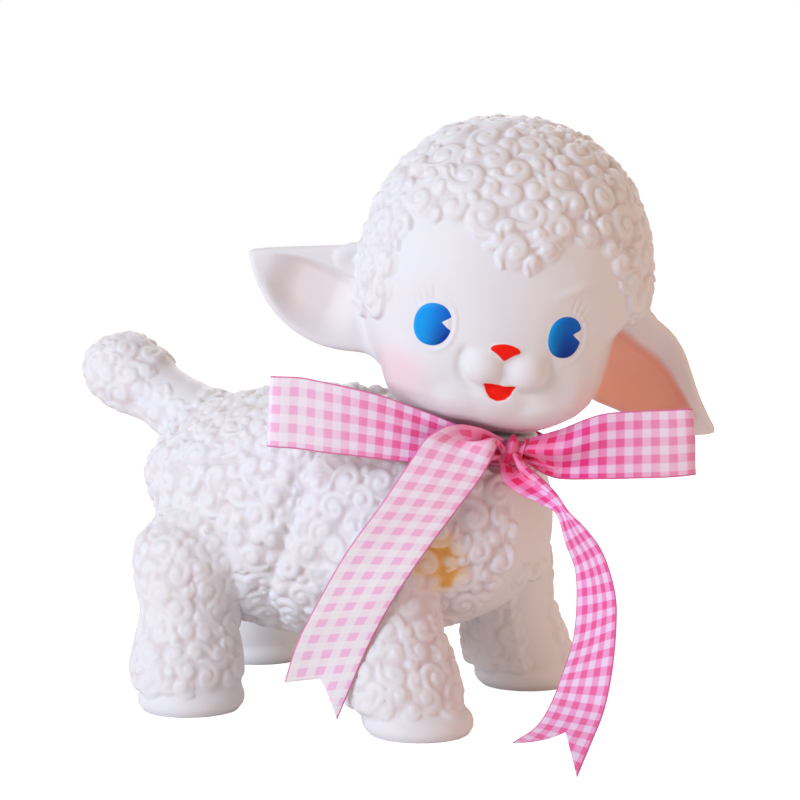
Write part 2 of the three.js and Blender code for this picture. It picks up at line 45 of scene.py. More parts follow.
neck_tilt = math.radians(9)
neck_turn = np.array([[math.cos(neck_tilt), 0, math.sin(neck_tilt)], [0, 1, 0],
                      [-math.sin(neck_tilt), 0, math.cos(neck_tilt)]])
torso_middle = np.array([-14.6, 0.0, 54.4])
torso_half = np.array([62.5, 35.5, 35.5])
torso_plump = 2.4
fold_heights = [32.7, 43.7, 52.4, 60.9, 69.1, 77.2]
fold_places = [-25, -18.4, -13.8, -11.4, -9.4, -7.4]
fold_depth, fold_width = 2.6, 3.4
leg_radius = 16.2
leg_heights = [0, 1, 2.75, 4.5, 5.6, 8, 12, 17, 22.5, 28, 34, 40, 47, 54, 57.9]
leg_shares = [.8, .9, .94, .93, .9, .97, 1, .96, .87, .82, .83, .86, .84, .55, .02]
thigh_shares = [0, 0, 0, 0, 0, 0, 0, 0, 0, .02, .11, .16, .12, 0, 0]
legs = [((24, -37), (11, -25.6), 0, 3), ((26.5, 37), (23.5, 25.6), .35, 1.5),
        ((-46, -37), (-50, -27.1), 1, 1.5), ((-65, 37), (-54, 25.6), .8, 1.5)]
leg_top = 43.9
tail_line = np.array([(-51.1, 0, 70.5), (-61.6, 0, 77.5), (-66.8, 0, 80.4), (-72.1, 0, 83.3),
                      (-77.4, 0, 86.4), (-82.6, 0, 89.6), (-88.1, 0, 92.2), (-92.5, 0, 93.0)])
tail_sizes = np.array([11.5, 10.8, 10.0, 9.3, 9.2, 10.9, 11.7, 9.6])
neck_stub, neck_stub_heights = [22, 20, 17, 16, 16, 15.4], [-40, -16, -11.5, -10, -1.8, -1.2]
neck_saddle, neck_saddle_radii = [-11, -11, -8, -3, 0, 6, 30], [0, 19, 25, 32, 39, 46, 60]
collar_radius, collar_bore = 13.4, 9.5


def ease(x, low, high):
    t = np.clip((x - low) / (high - low), 0, 1)
    return t * t * (3 - 2 * t)


def merged(a, b, soft):
    h = np.clip(.5 + .5 * (b - a) / soft, 0, 1)
    return b + (a - b) * h - soft * h * (1 - h)


def plump_ball(p, middle, half, power):
    q = p - middle
    gauge = ((np.abs(q) / half) ** power).sum(1) ** (1 / power)
    far = np.sqrt((q * q).sum(1))
    return far - far / np.maximum(gauge, 1e-6)


def leg_field(p, foot, top, thigh, toe):
    heights = np.linspace(-2, 60, 249)
    table = np.interp(heights, leg_heights,
                      [leg_radius * (a + thigh * b) for a, b in zip(leg_shares, thigh_shares)])
    table = np.convolve(np.pad(table, 4, mode="edge"), np.ones(9) / 9, "valid")
    z = p[:, 2]
    share = np.clip(z / leg_top, 0, 1.3)
    step = toe * (1 - ease(z, 4.5, 8))
    x = p[:, 0] - (foot[0] + (top[0] - foot[0]) * share + step)
    y = p[:, 1] - (foot[1] + (top[1] - foot[1]) * share)
    side = np.hypot(x, y) - np.interp(z, heights, table)
    return np.maximum(np.maximum(side, -z), z - 58)


def tail_field(p):
    best = np.full(len(p), 99.0)
    near = (p[:, 0] < -36) & (p[:, 2] > 55)
    q = p[near]
    found = np.full(len(q), 99.0)
    for a, b, ra, rb in zip(tail_line[:-1], tail_line[1:], tail_sizes[:-1], tail_sizes[1:]):
        d = b - a
        t = np.clip((q - a) @ d / (d @ d), 0, 1)
        found = merged(found, np.linalg.norm(q - a - t[:, None] * d, axis=1) - ra - (rb - ra) * t, .8)
    best[near] = found
    return best


def body_field(p):
    rump = p.copy()
    rump[:, 0] -= 5 * ease(-p[:, 2], -66, -52) * ease(-p[:, 0], 36, 70)
    d = plump_ball(rump, torso_middle, torso_half, torso_plump)
    fold = np.exp(-((p[:, 0] - np.interp(p[:, 2], fold_heights, fold_places)) / fold_width) ** 2)
    d = d + fold_depth * fold * ease(np.abs(p[:, 1]), 14, 24) * ease(-p[:, 2], -84, -72)
    joined = 1.8 + 5 * ease(p[:, 2], 36, 54)
    for leg in legs:
        d = merged(d, leg_field(p, *leg), joined)
    d = merged(d, tail_field(p), 5.0)
    q = (p - neck_place) @ neck_turn
    rad = np.hypot(q[:, 0], q[:, 1])
    d = np.maximum(d, .9 * (q[:, 2] - np.interp(rad, neck_saddle_radii, neck_saddle)))
    stub = np.interp(q[:, 2], neck_stub_heights, neck_stub)
    d = merged(d, np.maximum(np.maximum(rad - stub, q[:, 2] + 1.2), -40 - q[:, 2]), .8)
    wide = np.where(q[:, 2] < -3.8, 13.6, 11.0)
    d = np.maximum(d, -np.maximum(np.maximum(rad - wide, -20 - q[:, 2]), q[:, 2] - 9))
    belly = np.hypot(p[:, 0] - torso_middle[0], p[:, 1])
    d = merged(d, np.maximum(np.maximum(belly - collar_radius, 17.9 - p[:, 2]), p[:, 2] - 24), 1.0)
    return np.maximum(d, -np.maximum(belly - collar_bore, p[:, 2] - 31))


def skin_of(field, low, high, step):
    axes = [np.arange(a, b + step, step) for a, b in zip(low, high)]
    shape = tuple(len(a) for a in axes)
    points = np.stack(np.meshgrid(*axes, indexing="ij"), -1).reshape(-1, 3)
    value = np.concatenate([field(part) for part in np.array_split(points, 48)]).reshape(shape)
    inside = value < 0
    cells = tuple(n - 1 for n in shape)
    total = np.zeros(cells + (3,))
    count = np.zeros(cells)
    for axis in range(3):
        u, v = (axis + 1) % 3, (axis + 2) % 3
        for i in (0, 1):
            for j in (0, 1):
                start = [0, 0, 0]
                start[u], start[v] = i, j
                end = list(start)
                end[axis] = 1
                a = value[tuple(slice(s, s + n) for s, n in zip(start, cells))]
                b = value[tuple(slice(s, s + n) for s, n in zip(end, cells))]
                at = np.nonzero((a < 0) != (b < 0))
                place = np.stack(at, 1) + np.array(start, float)
                place[:, axis] += a[at] / (a[at] - b[at])
                total[at] += place
                count[at] += 1
    used = np.nonzero(count)
    number = np.full(cells, -1)
    number[used] = np.arange(len(used[0]))
    spots = total[used] / count[used][:, None] * step + np.array(low)
    faces = []
    for axis in range(3):
        u, v = (axis + 1) % 3, (axis + 2) % 3
        lower = np.moveaxis(inside, (axis, u, v), (0, 1, 2))
        ids = np.moveaxis(number, (axis, u, v), (0, 1, 2))
        change = lower[:-1, 1:-1, 1:-1] != lower[1:, 1:-1, 1:-1]
        x, y, z = np.nonzero(change)
        quad = np.stack([ids[x, y, z], ids[x, y + 1, z], ids[x, y + 1, z + 1], ids[x, y, z + 1]], 1)
        out = lower[x, y + 1, z + 1]
        faces.append(np.where(out[:, None], quad, quad[:, ::-1]))
    return spots, np.concatenate(faces)


def slope_of(field, p, eps=.04):
    here = field(p)
    grad = np.stack([field(p + eps * np.eye(3)[k]) - here for k in range(3)], 1) / eps
    return here, grad


def averaged(values, faces, share):
    edges = np.concatenate([faces[:, [i, (i + 1) % 4]] for i in range(4)])
    hits = np.maximum(np.bincount(edges[:, 0], minlength=len(values)), 1)
    columns = values.reshape(len(values), -1)
    around = np.stack([np.bincount(edges[:, 0], c[edges[:, 1]], len(values)) / hits for c in columns.T], 1)
    return values + share * (around.reshape(values.shape) - values)


def settled(field, p, faces, rounds, slide=.5):
    for _ in range(rounds):
        here, grad = slope_of(field, p)
        size = np.maximum((grad * grad).sum(1), .2)
        p = p - np.clip(here / size, -.6, .6)[:, None] * grad
        normal = grad / np.sqrt(size)[:, None]
        move = averaged(p, faces, slide) - p
        p = p + move - (move * normal).sum(1)[:, None] * normal
    here, grad = slope_of(field, p)
    size = np.maximum((grad * grad).sum(1), .2)
    p = p - np.clip(here / size, -.6, .6)[:, None] * grad
    return p, grad / np.sqrt(size)[:, None]


def split_quads(p, faces):
    pairs = np.sort(np.concatenate([faces[:, [i, (i + 1) % 4]] for i in range(4)]), axis=1)
    edges, back = np.unique(pairs, axis=0, return_inverse=True)
    mid = back.reshape(4, -1).T + len(p)
    heart = np.arange(len(faces)) + len(p) + len(edges)
    spots = np.concatenate([p, p[edges].mean(1), p[faces].mean(1)])
    parts = [np.stack([faces[:, i], mid[:, i], heart, mid[:, i - 1]], 1) for i in range(4)]
    return spots, np.concatenate(parts)


def ball_directions(count):
    t = (1 + math.sqrt(5)) / 2
    corners = np.array([(-1, t, 0), (1, t, 0), (-1, -t, 0), (1, -t, 0), (0, -1, t), (0, 1, t), (0, -1, -t),
                        (0, 1, -t), (t, 0, -1), (t, 0, 1), (-t, 0, -1), (-t, 0, 1)])
    apart = np.linalg.norm(corners[:, None] - corners[None], axis=2)
    found = []
    for a in range(12):
        for b in range(a):
            for c in range(b):
                if max(apart[a, b], apart[b, c], apart[a, c]) < 2.1:
                    found += [(corners[a] * i + corners[b] * j + corners[c] * (count - i - j)) / count
                              for i in range(count + 1) for j in range(count + 1 - i)]
    found = np.array(found)
    found /= np.linalg.norm(found, axis=1, keepdims=True)
    return found[np.unique(found.round(5), axis=0, return_index=True)[1]]


def strayed(d, reach, pace):
    d = d + reach * np.sin(pace * d[:, [1, 2, 0]] + np.array([1.0, 2.0, 3.0]))
    return d / np.linalg.norm(d, axis=1, keepdims=True)


def nearest(p, places, limit):
    chosen = []
    for place in places:
        far = ((p - place) ** 2).sum(1)
        i = int(far.argmin())
        if far[i] < limit * limit:
            chosen.append(i)
    return np.unique(chosen)


def filled_in(p, allowed, chosen, radii, sizes, overlap, seed):
    rng = np.random.default_rng(seed)
    places = p[chosen]
    chosen = list(chosen)
    for size, tries in sizes:
        for i in rng.permutation(np.nonzero(allowed > .5)[0])[:tries]:
            r = size * rng.uniform(.85, 1.15)
            if (((places - p[i]) ** 2).sum(1) < ((radii + r) * overlap) ** 2).any():
                continue
            places = np.vstack([places, p[i]])
            radii = np.append(radii, r)
            chosen.append(i)
    return np.array(chosen), radii


def curled(p, normal, chosen, radii, rope, seed):
    rng = np.random.default_rng(seed)
    height = np.zeros(len(p))
    cell = 8.0
    key = np.floor(p / cell).astype(int)
    key -= key.min(0)
    wide = key.max(0) + 1
    code = (key[:, 0] * wide[1] + key[:, 1]) * wide[2] + key[:, 2]
    order = np.argsort(code, kind="stable")
    starts = np.searchsorted(code[order], np.arange(wide.prod() + 1))
    for i, r in zip(chosen, radii):
        lo = np.maximum(key[i] - 1, 0)
        hi = np.minimum(key[i] + 1, wide - 1)
        near = np.concatenate([order[starts[c]:starts[c + 1]] for c in
                               ((x * wide[1] + y) * wide[2] + z for x in range(lo[0], hi[0] + 1)
                                for y in range(lo[1], hi[1] + 1) for z in range(lo[2], hi[2] + 1))])
        q = p[near] - p[i]
        close = ((q * q).sum(1) < (1.5 * r) ** 2) & (normal[near] @ normal[i] > .1)
        near, q = near[close], q[close]
        a = np.cross(normal[i], [.31, .42, .85])
        a /= np.linalg.norm(a)
        x, y = q @ a, q @ np.cross(normal[i], a)
        turn, oval = rng.uniform(0, 2 * math.pi), rng.uniform(.85, 1.2) ** .5
        u = (x * math.cos(turn) + y * math.sin(turn)) * oval
        v = (y * math.cos(turn) - x * math.sin(turn)) / oval
        far = np.hypot(u, v)
        half = min(rope * rng.uniform(.9, 1.12), .45 * r)
        pitch = half * rng.uniform(2.05, 2.4)
        reach = 2 * math.pi * (r - half) / pitch
        hand = 1 if rng.uniform() < .5 else -1
        first = (hand * np.arctan2(v, u) + rng.uniform(0, 2 * math.pi)) % (2 * math.pi)
        tall = rng.uniform(.8, 1.12) * (1 + rng.uniform(-.2, .2) * u / r)
        ball = np.sqrt(np.clip(1 - (far / (1.05 * half)) ** 2, 0, 1))
        cushion = .5 * np.sqrt(np.clip(1 - (far / r) ** 2, 0, 1))
        found = np.maximum(cushion, np.where(ball > 0, .4 + .58 * ball, 0))
        for lap in range(3):
            theta = first + 2 * math.pi * lap
            past = np.clip((theta - reach) / 1.5, 0, 1)
            line = pitch * (theta / (2 * math.pi) + .35 * past * past)
            thick = half * np.sqrt(1 - .96 * past * past)
            crown = np.sqrt(np.clip(1 - ((far - line) / thick) ** 2, 0, 1)) * (past < 1)
            found = np.maximum(found, np.where(crown > 0, (1 - .25 * theta / reach) * (.4 + .6 * crown), 0))
        height[near] = np.maximum(height[near], tall * found)
    return height


def mesh_piece(name, p, faces, marks):
    mesh = bpy.data.meshes.new(name)
    mesh.vertices.add(len(p))
    mesh.vertices.foreach_set("co", (np.asarray(p) * .001).astype(np.float32).ravel())
    wide = faces.shape[1]
    mesh.loops.add(faces.size)
    mesh.loops.foreach_set("vertex_index", faces.astype(np.int32).ravel())
    mesh.polygons.add(len(faces))
    mesh.polygons.foreach_set("loop_start", np.arange(0, faces.size, wide, dtype=np.int32))
    mesh.polygons.foreach_set("loop_total", np.full(len(faces), wide, np.int32))
    mesh.polygons.foreach_set("use_smooth", np.ones(len(faces), bool))
    for mark, values in marks.items():
        layer = mesh.attributes.new(mark, "FLOAT", "POINT")
        layer.data.foreach_set("value", np.asarray(values, np.float32))
    mesh.update()
    mesh.validate()
    piece = bpy.data.objects.new(name, mesh)
    bpy.context.scene.collection.objects.link(piece)
    return piece


body_points, body_faces = skin_of(body_field, (-106, -60, -2.3), (58, 60, 110), 1.0)
body_points, _ = settled(body_field, body_points, body_faces, 4)
body_points, body_faces = split_quads(body_points, body_faces)
body_points, body_normals = settled(body_field, body_points, body_faces, 1, .3)
in_neck = (body_points - neck_place) @ neck_turn
neck_far = np.hypot(in_neck[:, 0], in_neck[:, 1])
belly_far = np.hypot(body_points[:, 0] - torso_middle[0], body_points[:, 1])
bx, by, bz = body_points.T
woolly = (bz > 8) & ((neck_far > 21) | (in_neck[:, 2] < -24)) & ~((belly_far < 17) & (bz < 33))
woolly &= ~((bx > 30) & (np.abs(by - 8) < 23) & (body_normals[:, 0] > .4))
woolly &= ~((bx > 12) & (np.abs(by) < 15) & (bz < 34))
woolly &= ~((bx < -20) & (bz < 40) & (body_normals[:, 1] * np.sign(by) < -.15) & (np.abs(by) > 8))
woolly &= ~((bx < -57) & (bx > -76) & (np.abs(by) < 9) & (bz > 84))
torso_curls = ball_directions(6) * np.array([1, 1.3, 1.3])
torso_curls = strayed(torso_curls / np.linalg.norm(torso_curls, axis=1, keepdims=True), .05, 11)
gauge = (np.abs(torso_curls) ** torso_plump).sum(1, keepdims=True) ** (1 / torso_plump)
curl_places = [torso_middle + torso_curls / gauge * torso_half]
for foot, top, thigh, toe in legs:
    for row in range(6, 14):
        z = leg_heights[row - 1]
        for turn in range(16):
            if (turn + row) % 2:
                angle = (turn + .3 * math.sin(3.1 * row + 5.3 * turn)) * math.pi / 8
                r = leg_radius * (leg_shares[row - 1] + thigh * thigh_shares[row - 1])
                share = z / leg_top
                x = foot[0] + (top[0] - foot[0]) * share + r * math.cos(angle)
                y = foot[1] + (top[1] - foot[1]) * share + r * math.sin(angle)
                curl_places.append(np.array([[x, y, z + math.sin(2.3 * row + 4.1 * turn)]]))
tail_rings = [(-72.1, 83.2, 9.2), (-77.4, 86.4, 11.2), (-82.6, 89.6, 12.2), (-88.1, 92.2, 11.8),
              (-94.1, 93.2, 9.6)]
for ring, (x, z, size) in enumerate(tail_rings):
    for turn in range(16):
        if (turn + ring) % 2:
            angle = (turn + .3 * math.sin(3.1 * ring + 5.3 * turn)) * math.pi / 8
            curl_places.append(np.array([[x - .5 * size * math.cos(angle), size * math.sin(angle),
                                          z - .86 * size * math.cos(angle)]]))
chosen = nearest(body_points, np.concatenate(curl_places), 2.5)
chosen = chosen[woolly[chosen]]
radii = 4.3 + .6 * np.sin(chosen * 1.7)
small_curls = [(3.2, 30000), (2.3, 30000)]
chosen, radii = filled_in(body_points, woolly, chosen, radii, small_curls, overlap=.74, seed=11)
body_curls = averaged(curled(body_points, body_normals, chosen, radii, rope=1.3, seed=12), body_faces, .5)
fleece_edge = averaged(averaged(woolly.astype(float), body_faces, .9), body_faces, .9)
off_torso = ease(plump_ball(body_points, torso_middle, torso_half, torso_plump), .5, 5)
curl_height, fleece_sunk = 1.9, .6
body_lift = (curl_height * body_curls - fleece_sunk * fleece_edge) * (1 - .4 * off_torso)
body_points = body_points + body_normals * body_lift[:, None]
body_points[:, 2] = np.maximum(body_points[:, 2], 0)
# An amber patch on the chest with a wavy edge.
amber_patch_place, amber_patch_size = np.array([29, -27.5, 45.5]), np.array([6, 7, 8.5])
amber_offset = body_points + 1.2 * np.sin(body_points[:, [1, 2, 0]] * .9) - amber_patch_place
stain = np.exp(-((amber_offset / amber_patch_size) ** 2).sum(1))
body = mesh_piece("lamb_body", body_points + body_place, body_faces,
                  {"relief": body_curls, "stain": stain, "woolly": fleece_edge})


def material_of(name):
    material = bpy.data.materials.new(name)
    material.use_nodes = True
    nodes, links = material.node_tree.nodes, material.node_tree.links
    shader = nodes["Principled BSDF"]

    def node(kind, **settings):
        made = nodes.new(kind)
        for key, value in settings.items():
            setattr(made, key, value)
        return made

    def mark(label):
        made = node("ShaderNodeAttribute", attribute_name=label)
        return made.outputs["Fac"]

    def mixed(factor, a, b):
        made = node("ShaderNodeMix", data_type="RGBA")
        for socket, value in zip((made.inputs[0], made.inputs[6], made.inputs[7]), (factor, a, b)):
            if hasattr(value, "is_linked"):
                links.new(value, socket)
            else:
                socket.default_value = value
        return made.outputs[2]

    def ramp(value, low, high, out_low=0.0, out_high=1.0, way="SMOOTHSTEP"):
        made = node("ShaderNodeMapRange", interpolation_type=way)
        links.new(value, made.inputs["Value"])
        for key, number in zip(("From Min", "From Max", "To Min", "To Max"), (low, high, out_low, out_high)):
            made.inputs[key].default_value = number
        return made.outputs["Result"]

    return material, shader, links, node, mark, mixed, ramp


# Old white rubber, shared by body and head: a warmer, darker colour between the curls, which is painted
# shade, and duller there, where the hand doesn't polish it, with faint cloudy yellowing and a fine matt
# grain.
old_rubber = bpy.data.node_groups.new("old_rubber", "ShaderNodeTree")
for label, kind in (("Relief", "Float"), ("Curly", "Float"), ("Crown", "Color"), ("Painted_Shade", "Color")):
    old_rubber.interface.new_socket(name=label, in_out="INPUT", socket_type="NodeSocket" + kind)
for label, kind in (("Colour", "Color"), ("Roughness", "Float"), ("Grain", "Float"), ("Recess", "Float")):
    old_rubber.interface.new_socket(name=label, in_out="OUTPUT", socket_type="NodeSocket" + kind)
inner, wires = old_rubber.nodes, old_rubber.links
taken = inner.new("NodeGroupInput")
given = inner.new("NodeGroupOutput")
lowness = inner.new("ShaderNodeMapRange")
lowness.interpolation_type = "SMOOTHSTEP"
lowness.inputs["From Min"].default_value = .7
lowness.inputs["From Max"].default_value = .1
wires.new(taken.outputs["Relief"], lowness.inputs["Value"])
hollow = inner.new("ShaderNodeMath")
hollow.operation = "MULTIPLY"
wires.new(lowness.outputs["Result"], hollow.inputs[0])
wires.new(taken.outputs["Curly"], hollow.inputs[1])
wires.new(hollow.outputs[0], given.inputs["Recess"])
# Painted shade: the recess mask mixes the crown colour towards the warmer, darker shade colour.
tinted = inner.new("ShaderNodeMix")
tinted.data_type = "RGBA"
wires.new(hollow.outputs[0], tinted.inputs[0])
wires.new(taken.outputs["Crown"], tinted.inputs[6])
wires.new(taken.outputs["Painted_Shade"], tinted.inputs[7])
where = inner.new("ShaderNodeTexCoord")
cloud = inner.new("ShaderNodeTexNoise")
cloud.inputs["Scale"].default_value = 45
cloud.inputs["Detail"].default_value = 3
wires.new(where.outputs["Object"], cloud.inputs["Vector"])
faint = inner.new("ShaderNodeMapRange")
faint.inputs["From Min"].default_value = .45
faint.inputs["From Max"].default_value = .75
faint.inputs["To Max"].default_value = .5
wires.new(cloud.outputs["Fac"], faint.inputs["Value"])
aged = inner.new("ShaderNodeMix")
aged.data_type = "RGBA"
aged.blend_type = "MULTIPLY"
aged.inputs[7].default_value = (1, .975, .93, 1)
wires.new(faint.outputs["Result"], aged.inputs[0])
wires.new(tinted.outputs[2], aged.inputs[6])
wires.new(aged.outputs[2], given.inputs["Colour"])
matt = inner.new("ShaderNodeTexNoise")
matt.inputs["Scale"].default_value = 1600
wires.new(where.outputs["Object"], matt.inputs["Vector"])
wires.new(matt.outputs["Fac"], given.inputs["Grain"])
polish = inner.new("ShaderNodeMath")
polish.operation = "MULTIPLY_ADD"
polish.inputs[1].default_value = .12
wires.new(hollow.outputs[0], polish.inputs[0])
speckle = inner.new("ShaderNodeMapRange")
speckle.inputs["To Min"].default_value = .38
speckle.inputs["To Max"].default_value = .56
wires.new(matt.outputs["Fac"], speckle.inputs["Value"])
wires.new(speckle.outputs["Result"], polish.inputs[2])
wires.new(polish.outputs[0], given.inputs["Roughness"])


def old_white(shader, links, node, relief, curly):
    rubber = node("ShaderNodeGroup", node_tree=old_rubber)
    # The second colour is painted shade for the recesses between the curls.
    rubber.inputs["Crown"].default_value = (.845, .843, .857, 1)
    rubber.inputs["Painted_Shade"].default_value = (.8, .755, .765, 1)
    links.new(relief, rubber.inputs["Relief"])
    links.new(curly, rubber.inputs["Curly"])
    links.new(rubber.outputs["Roughness"], shader.inputs["Roughness"])
    bump = node("ShaderNodeBump")
    bump.inputs["Strength"].default_value = .2
    bump.inputs["Distance"].default_value = .0001
    links.new(rubber.outputs["Grain"], bump.inputs["Height"])
    links.new(bump.outputs["Normal"], shader.inputs["Normal"])
    shader.inputs["Subsurface Weight"].default_value = .25
    shader.inputs["Subsurface Radius"].default_value = (1, .55, .4)
    shader.inputs["Subsurface Scale"].default_value = .004
    return rubber.outputs["Colour"], rubber.outputs["Recess"]


body_rubber, shader, links, node, mark, mixed, ramp = material_of("white_rubber_fleece")
color, recess = old_white(shader, links, node, mark("relief"), mark("woolly"))
# The amber patch is fainter on the curls' tops and darker amber in the recesses between them; the darker
# recesses are painted shade.
amber_share = node("ShaderNodeMath", operation="MULTIPLY")
links.new(ramp(mark("stain"), .12, .55), amber_share.inputs[0])
links.new(ramp(mark("relief"), 1, .4, .45, 1), amber_share.inputs[1])
amber, dark_amber = (.95, .74, .42, 1), (.9, .52, .15, 1)
color = mixed(amber_share.outputs[0], color, mixed(recess, amber, dark_amber))
links.new(color, shader.inputs["Base Color"])
shader.inputs["Specular IOR Level"].default_value = .25
body.data.materials.append(body_rubber)
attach(body, "body")
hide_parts("body_shell")

# Head: skull, face and both ears, one hollow moulding of the same rubber that snaps into the neck and turns.
# A curly cap runs from the fringe down to the nape, and the ears are cupped leaves.
# Eyes, nose, mouth and blush are sprayed or brushed on, and lashes and brows are moulded in.
head_turn = math.radians(-62)
head_axes = neck_turn @ np.array([[math.cos(head_turn), -math.sin(head_turn), 0],
                                  [math.sin(head_turn), math.cos(head_turn), 0], [0, 0, 1]])
skull_middle = np.array([0, 0, 40.5])
skull_half = np.array([40, 39.25, 43.5])
skull_plump = 2.15
muzzle_middle, muzzle_half = np.array([22, 0, 17.5]), np.array([13.2, 13.5, 12])
chin_middle, chin_half = np.array([19.5, 0, 11]), np.array([13, 19, 8.6])
cheek_size, jowl_size, puff_size = 12, 7.2, 6.4
jaw_radii, jaw_heights = [15, 18, 21, 25, 28, 31, 35, 40], [-.9, 0, 1.2, 2.4, 3.5, 5, 8.2, 11]
cheek_heights = [2, 5, 8, 12, 15, 26, 29, 32, 36, 40, 46]
cheek_widths = [18, 21.3, 24.8, 27.9, 28.9, 29.2, 30, 32.5, 36.5, 41.5, 48]
plug_heights, plug_radii = [-9.6, -5.8, -5.7, -4.3, -4.2, 2], [10.1, 12.7, 12.7, 12.7, 10.7, 10.7]
ear_thickness, ear_hollow = 4.5, 3.4
ear_reach = [-7, -1, 5, 11, 17, 22.5, 28, 32, 36, 39]
ears = [(-1, math.radians(15), [13, 15, 16.2, 16, 13.5, 10.9, 8.3, 6.4, 4.5, 2.6],
         [-11, -11.8, -13.7, -14.7, -14.3, -12.9, -10.3, -7.3, -3.4, 1.3], (4, 14), .022, 0, .15),
        (1, math.radians(-32), [12, 13.2, 13.4, 13.3, 11.5, 8.2, 5, 3.1, 1.4, .3],
         [-14, -15.5, -16, -14.3, -12.6, -11.3, -9.4, -7.6, -4.7, -1.2], (-8, -2), 0, 5, 1)]
eyes = [(-20.5, 28.9), (15.0, 30.4)]
eye_wide, eye_tall = 4.75, 5.75
nose_place = (-.6, 25.0)
mouth_place = (-.5, 13.4)


def ear_local(h, side, lift, upper, lower):
    along = np.array([-.06, side * math.cos(lift), math.sin(lift)])
    along /= np.linalg.norm(along)
    q = h - np.array([-1.6 - .6 * side, side * 34.15, 26])
    s, w = q @ along, q @ np.array([0, -side * math.sin(lift), math.cos(lift)])
    steps = np.linspace(-7, 39, 93)
    smooth = np.ones(11) / 11
    edges = [np.pad(np.interp(steps, ear_reach, e), 5, mode="edge") for e in (upper, lower)]
    top, bottom = (np.interp(s, steps, np.convolve(e, smooth, "valid")) for e in edges)
    half = np.maximum((top - bottom) / 2, .5)
    return s, (w - (top + bottom) / 2) / half, half, -q[:, 0]


def ear_front(s, t, half, first, slope, lead):
    rest = .6 + 2.5 * np.clip((s + 7) / 46, 0, 1) ** 2 + .09 * half * (1 - np.clip(t * t, 0, 1))
    fold = .5 + slope * (s - 14)
    inside = [np.clip(a, 0, 1) for a in ((fold - t) / .3, (t + .95) / .8, (34 - s) / 13)]
    dip = ease(1 - np.sqrt(sum((1 - a) ** 2 for a in inside)), 0, .85) * ease(s, *first)
    return rest, rest + ear_hollow * dip - lead * (1 - ease(s, -6, 14))


def ear_field(h, side, lift, upper, lower, first, slope, lead):
    out = np.full(len(h), 99.0)
    near = (h[:, 1] * side > 22) & (h[:, 2] < 62)
    s, t, half, n = ear_local(h[near], side, lift, upper, lower)
    rest, face = ear_front(s, t, half, first, slope, lead)
    sheet = np.maximum(face - n, n - rest - ear_thickness)
    past = -merged((1 - np.abs(t)) * half * .9, 39.6 - s, 2.5)
    d = np.hypot(np.maximum(sheet + 2, 0), np.maximum(past + 2, 0)) - 2
    out[near] = np.maximum(d, np.maximum(sheet, past)) * .8
    return out


def face_field(h):
    d = plump_ball(h, skull_middle, skull_half, skull_plump)
    d = merged(d, plump_ball(h, muzzle_middle, muzzle_half, 2), 6)
    for side in (-1, 1):
        cheek = np.array([18.5, side * 17.5, 14])
        d = merged(d, np.linalg.norm(h - cheek, axis=1) - cheek_size, 8)
    d = merged(d, plump_ball(h, chin_middle, chin_half, 2), 5)
    for side in (-1, 1):
        jowl = np.array([25.5, side * 11 + .5, 10.5])
        puff = np.array([32.8, side * 5.6 + .5, 20.6])
        d = merged(d, np.linalg.norm(h - jowl, axis=1) - jowl_size, 2.5)
        d = merged(d, np.linalg.norm(h - puff, axis=1) - puff_size, 1.2)
    under = np.interp(np.hypot(h[:, 0], h[:, 1]), jaw_radii, jaw_heights)
    d = -merged(-d, h[:, 2] - under, 2.0)
    beside = np.interp(h[:, 2], cheek_heights, cheek_widths) + .15 * (14 - h[:, 0])
    return -merged(-d, beside - h[:, 1], 7.0)


def head_field(h):
    d = face_field(h)
    for side, lift, upper, lower, first, slope, lead, _ in ears:
        d = merged(d, ear_field(h, side, lift, upper, lower, first, slope, lead), 3.0)
    d = np.maximum(d, -.9 - h[:, 2])
    rad = np.hypot(h[:, 0], h[:, 1])
    plug = np.interp(h[:, 2], plug_heights, plug_radii)
    return np.minimum(d, np.maximum(np.maximum(rad - plug, h[:, 2] - 2), -9.6 - h[:, 2]))


def hair_line(h):
    y = h[:, 1]
    sides = .06 * np.maximum(0, y - 17) ** 2 + np.minimum(28.9, 1.2 * np.maximum(0, -y - 29.3) ** 2)
    front = h[:, 2] - (55.4 - 10.3 * np.exp(-((y + .4) / 8.4) ** 2) - sides)
    return np.maximum(front, np.minimum(-h[:, 0] / .976 - 8, h[:, 2] - 8))


head_points, head_faces = skin_of(head_field, (-43, -78, -11), (43, 78, 87), .8)
head_points, _ = settled(head_field, head_points, head_faces, 4)
head_points, head_faces = split_quads(head_points, head_faces)
head_points, head_normals = settled(head_field, head_points, head_faces, 1, .3)
hx, hy, hz = head_points.T
in_hair = hair_line(head_points)
on_ear = ease(face_field(head_points), .6, 2.2) * (np.abs(hy) > 25) * (hx < 14)
hairy = (in_hair > 2.2) & (on_ear < .5) & (hz > 6)
cap_curls = strayed(ball_directions(4), .05, 9)
gauge = (np.abs(cap_curls) ** skull_plump).sum(1, keepdims=True) ** (1 / skull_plump)
chosen = nearest(head_points, skull_middle + cap_curls / gauge * skull_half, 2.5)
chosen = chosen[hairy[chosen] & (in_hair[chosen] > 3.8)]
radii = 5.3 + .7 * np.sin(chosen * 1.7)
small_curls = [(3.9, 20000), (3.2, 20000), (2.4, 20000)]
chosen, radii = filled_in(head_points, hairy, chosen, radii, small_curls, overlap=.74, seed=21)
head_curls = averaged(curled(head_points, head_normals, chosen, radii, rope=1.55, seed=22), head_faces, .5)
front = ease(hx, 12, 20)
lift = np.zeros(len(head_points))
for side in (-1, 1):
    far = ((head_points - np.array([36, side * 18, 30])) ** 2).sum(1)
    lift -= 1.3 * np.exp(-far / 64)
    up, out = hz - 43.3 - .45 * (np.abs(hy) - 16), hy - side * 16
    brow = .1 if side < 0 else .6
    lift += front * brow * np.exp(-(out / 4.6) ** 2 - (up / 1.4) ** 2)

